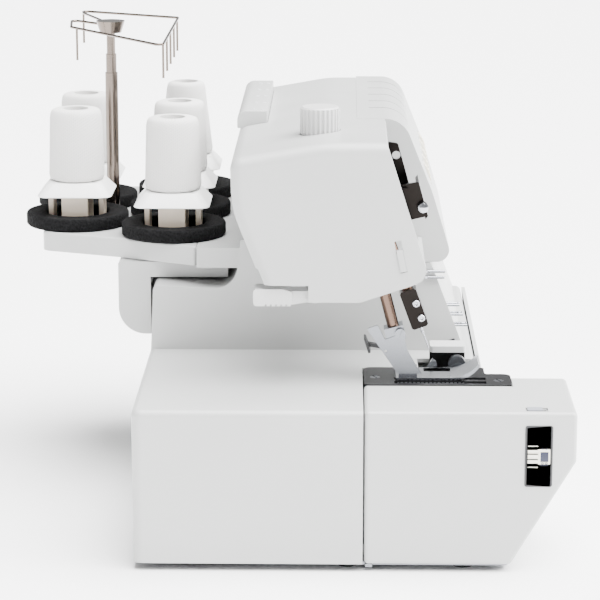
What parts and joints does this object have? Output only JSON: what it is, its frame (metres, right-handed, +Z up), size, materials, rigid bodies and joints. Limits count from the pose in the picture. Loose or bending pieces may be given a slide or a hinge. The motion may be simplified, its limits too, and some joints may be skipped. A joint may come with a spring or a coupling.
{
  "type": "serger overlock machine",
  "caption": "Home overlock sewing machine with opening side and front covers, thread dials, moving needle bar, loopers, knife and foot, and a telescopic thread mast over its cones.",
  "frame": {"origin": "on the table, under the middle of the machine's bounding box", "axes": "+X to the operator's right along the machine, +Y to the rear, +Z up"},
  "size_m": [0.3778, 0.3607, 0.306],
  "materials": {
    "white_plastic": "satin white moulded",
    "grey_plastic": "satin grey moulded",
    "cream_plastic": "satin cream moulded",
    "dark_plastic": "matte black",
    "rubber": "matte",
    "foam": "open sponge",
    "cast_frame": "cast and painted",
    "steel": "ground",
    "chrome": "polished",
    "dark_steel": "blackened",
    "bronze": "turned",
    "mast_metal": "polished, brown tone",
    "thread": "cross-wound thread",
    "motor_paint": "satin"
  },
  "bodies": {
    "machine_body": {"base_pan": "steel", "rubber_feet": "rubber", "machine_frame": "cast_frame", "bronze_bushes": "bronze", "main_casing": "white_plastic", "rear_cover": "white_plastic", "head_cover": "white_plastic", "front_panel": "white_plastic", "pivot_studs": "steel", "thread_wires": "chrome", "needle_plate": "steel", "needle_plate_screws": "steel", "lower_knife": "steel", "knife_guard": "white_plastic", "presser_spring": "steel", "threading_bracket": "dark_steel", "rear_thread_guide": "white_plastic", "tension_discs": "chrome", "motor": "motor_paint", "drive_belt": "rubber", "power_inlet": "dark_plastic", "spool_tray": "white_plastic", "spool_pins": "grey_plastic", "foam_pads": "foam", "cone_adapters": "cream_plastic", "thread_cones": "thread", "antenna_tube": "mast_metal"},
    "side_cover": {"side_cover": "white_plastic"},
    "cover_latch": {"cover_latch": "grey_plastic"},
    "looper_cover": {"looper_cover": "white_plastic"},
    "stitch_dial": {"stitch_dial": "cream_plastic"},
    "pressure_knob": {"pressure_knob": "cream_plastic"},
    "presser_lifter": {"presser_lifter": "cream_plastic"},
    "presser_bar": {"presser_bar": "steel", "foot_holder": "steel", "presser_foot": "chrome", "foot_clamp_screw": "steel"},
    "foot_release_lever": {"foot_release_lever": "dark_plastic"},
    "needle_bar": {"needle_bar": "steel", "needle_clamp": "dark_steel", "needle_clamp_screws": "chrome", "needles": "chrome"},
    "take_up_lever": {"take_up_lever": "dark_steel"},
    "upper_looper": {"upper_looper": "chrome"},
    "lower_looper": {"lower_looper": "chrome"},
    "upper_knife": {"upper_knife": "steel"},
    "feed_dogs": {"feed_dogs": "steel"},
    "main_shaft": {"main_shaft": "steel", "handwheel": "white_plastic"},
    "motor_pulley": {"motor_pulley": "steel"},
    "antenna_middle": {"antenna_middle": "mast_metal"},
    "antenna_top": {"antenna_top": "mast_metal", "thread_frame": "mast_metal"},
    "slide_switch": {"slide_switch": "white_plastic"},
    "power_switch": {"power_switch": "dark_plastic"},
    "tension_dial_1": {"tension_dial_1": "cream_plastic"},
    "tension_dial_2": {"tension_dial_2": "cream_plastic"},
    "tension_dial_3": {"tension_dial_3": "cream_plastic"},
    "tension_dial_4": {"tension_dial_4": "cream_plastic"},
    "tension_dial_5": {"tension_dial_5": "cream_plastic"}
  },
  "joints": [
    {"name": "side_cover_hinge", "type": "hinge", "parent": "machine_body", "child": "side_cover", "pos_m": [-0.1843, -0.05465, 0.05], "axis": [0, 0, -1], "range_deg": [0, 90]},
    {"name": "cover_latch_slide", "type": "slide", "parent": "side_cover", "child": "cover_latch", "axis": [0, -1, 0], "range_m": [0, 0.003], "stiffness_N_per_m": 200},
    {"name": "looper_cover_hinge", "type": "hinge", "parent": "machine_body", "child": "looper_cover", "pos_m": [0.0127, -0.13785, 0.01], "axis": [1, 0, 0], "range_deg": [0, 80]},
    {"name": "stitch_dial_turn", "type": "hinge", "parent": "side_cover", "child": "stitch_dial", "pos_m": [-0.1649, -0.15735, 0.0745], "axis": [0, 1, 0], "range_deg": [0, 300]},
    {"name": "pressure_knob_turn", "type": "hinge", "parent": "machine_body", "child": "pressure_knob", "pos_m": [-0.0823, -0.02335, 0.26], "axis": [0, 0, 1], "continuous": true},
    {"name": "tension_dial_1_turn", "type": "hinge", "parent": "machine_body", "child": "tension_dial_1", "pos_m": [0.0097, -0.08045, 0.208], "axis": [1, 0, 0], "range_deg": [0, 300]},
    {"name": "tension_dial_2_turn", "type": "hinge", "parent": "machine_body", "child": "tension_dial_2", "pos_m": [0.0397, -0.08045, 0.208], "axis": [1, 0, 0], "range_deg": [0, 300]},
    {"name": "tension_dial_3_turn", "type": "hinge", "parent": "machine_body", "child": "tension_dial_3", "pos_m": [0.0697, -0.08045, 0.208], "axis": [1, 0, 0], "range_deg": [0, 300]},
    {"name": "tension_dial_4_turn", "type": "hinge", "parent": "machine_body", "child": "tension_dial_4", "pos_m": [0.0997, -0.08045, 0.208], "axis": [1, 0, 0], "range_deg": [0, 300]},
    {"name": "tension_dial_5_turn", "type": "hinge", "parent": "machine_body", "child": "tension_dial_5", "pos_m": [0.1297, -0.08045, 0.208], "axis": [1, 0, 0], "range_deg": [0, 300]},
    {"name": "presser_lifter_turn", "type": "hinge", "parent": "machine_body", "child": "presser_lifter", "pos_m": [-0.1243, -0.02085, 0.161], "axis": [1, 0, 0], "range_deg": [0, 15]},
    {"name": "presser_bar_slide", "type": "slide", "parent": "machine_body", "child": "presser_bar", "axis": [0, 0.2504, 0.9681], "range_m": [0, 0.0045], "deforming": ["presser_spring"]},
    {"name": "foot_release_lever_turn", "type": "hinge", "parent": "presser_bar", "child": "foot_release_lever", "pos_m": [-0.1043, -0.06425, 0.1214], "axis": [1, 0, 0], "range_deg": [0, 8], "stiffness_Nm_per_rad": 0.05},
    {"name": "needle_bar_slide", "type": "slide", "parent": "machine_body", "child": "needle_bar", "axis": [0, -0.342, -0.9397], "range_m": [0, 0.0235]},
    {"name": "take_up_lever_turn", "type": "hinge", "parent": "machine_body", "child": "take_up_lever", "pos_m": [-0.0933, -0.06685, 0.229], "axis": [1, 0, 0], "range_deg": [0, 20]},
    {"name": "upper_looper_turn", "type": "hinge", "parent": "machine_body", "child": "upper_looper", "pos_m": [-0.0713, -0.10085, 0.04], "axis": [1, 0, 0], "range_deg": [0, 12]},
    {"name": "lower_looper_turn", "type": "hinge", "parent": "machine_body", "child": "lower_looper", "pos_m": [-0.1113, -0.09885, 0.03], "axis": [-1, 0, 0], "range_deg": [0, 12]},
    {"name": "upper_knife_turn", "type": "hinge", "parent": "machine_body", "child": "upper_knife", "pos_m": [-0.0803, -0.06085, 0.092], "axis": [1, 0, 0], "range_deg": [0, 5]},
    {"name": "feed_dogs_slide", "type": "slide", "parent": "machine_body", "child": "feed_dogs", "axis": [0, -1, 0], "range_m": [0, 0.004]},
    {"name": "main_shaft_turn", "type": "hinge", "parent": "machine_body", "child": "main_shaft", "pos_m": [0.1427, -0.03085, 0.062], "axis": [1, 0, 0], "continuous": true},
    {"name": "motor_pulley_turn", "type": "hinge", "parent": "machine_body", "child": "motor_pulley", "pos_m": [0.1227, 0.05115, 0.07], "axis": [1, 0, 0], "continuous": true},
    {"name": "antenna_top_slide", "type": "slide", "parent": "machine_body", "child": "antenna_top", "axis": [0, 0, 1], "range_m": [0, 0.19]},
    {"name": "antenna_middle_slide", "type": "slide", "parent": "machine_body", "child": "antenna_middle", "axis": [0, 0, 1], "range_m": [0, 0.095]},
    {"name": "slide_switch_slide", "type": "slide", "parent": "machine_body", "child": "slide_switch", "axis": [0, 0.2079, 0.9781], "range_m": [0, 0.005]},
    {"name": "power_switch_turn", "type": "hinge", "parent": "machine_body", "child": "power_switch", "pos_m": [0.1542, 0.02815, 0.026], "axis": [0, 0, 1], "range_deg": [-6, 6]}
  ],
  "couplings": [
    {"joint": "presser_lifter_turn", "follows": "presser_bar_slide", "rad_per_m": 58.1},
    {"joint": "take_up_lever_turn", "follows": "needle_bar_slide", "rad_per_m": 14.78},
    {"joint": "upper_looper_turn", "follows": "needle_bar_slide", "rad_per_m": 8.8381},
    {"joint": "lower_looper_turn", "follows": "needle_bar_slide", "rad_per_m": 8.8381},
    {"joint": "upper_knife_turn", "follows": "needle_bar_slide", "rad_per_m": 3.6763},
    {"joint": "feed_dogs_slide", "follows": "needle_bar_slide", "ratio": 0.16596},
    {"joint": "motor_pulley_turn", "follows": "main_shaft_turn", "ratio": 3.3333},
    {"joint": "antenna_middle_slide", "follows": "antenna_top_slide", "ratio": 0.5}
  ]
}
